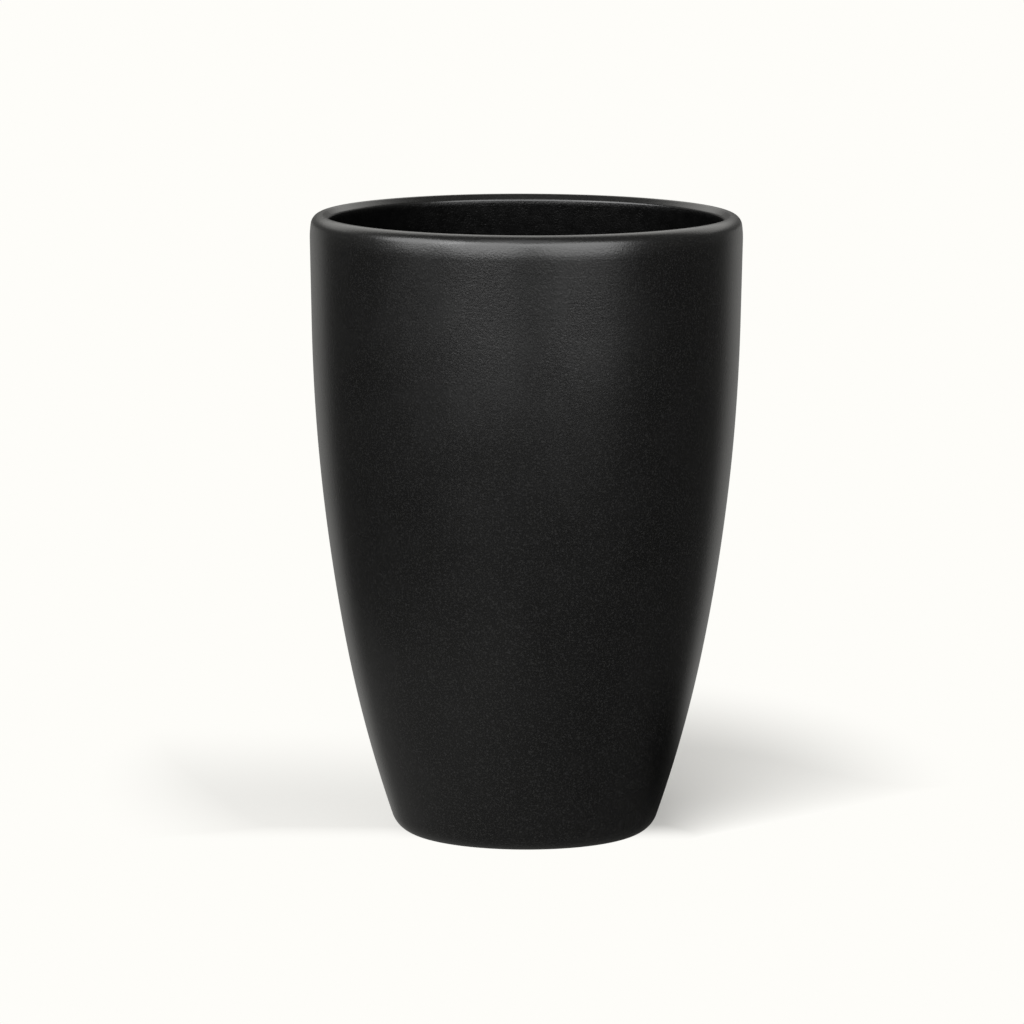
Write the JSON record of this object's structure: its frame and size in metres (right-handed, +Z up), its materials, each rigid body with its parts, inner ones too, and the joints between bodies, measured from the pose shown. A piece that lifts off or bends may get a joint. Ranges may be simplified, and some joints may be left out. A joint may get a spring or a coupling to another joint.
{
  "type": "tall round planter",
  "caption": "Tall round planter in glass-fibre laminate: curved tapering wall, turned-in rounded lip, standing ring, and a drain hole closed by a rubber plug that lifts out.",
  "frame": {"origin": "centre of the standing ring, on the surface that the planter stands on", "axes": "+Z up along the planter's own axis, through drain hole and mouth; the shell is round about it. +X lies along the finger grip of the plug, and -Y is the side that faces the camera in the picture"},
  "size_m": [0.3535, 0.3536, 0.51],
  "materials": {
    "shell_paint": "black satin paint with a fine orange peel over glass-fibre laminate",
    "plug_rubber": "matt black moulded rubber"
  },
  "bodies": {
    "planter": {"planter_shell": "shell_paint"},
    "plug": {"drain_plug": "plug_rubber"}
  },
  "joints": [
    {"name": "plug_lift", "type": "slide", "parent": "planter", "child": "plug", "axis": [0, 0, 1], "range_m": [0, 0.53]}
  ]
}
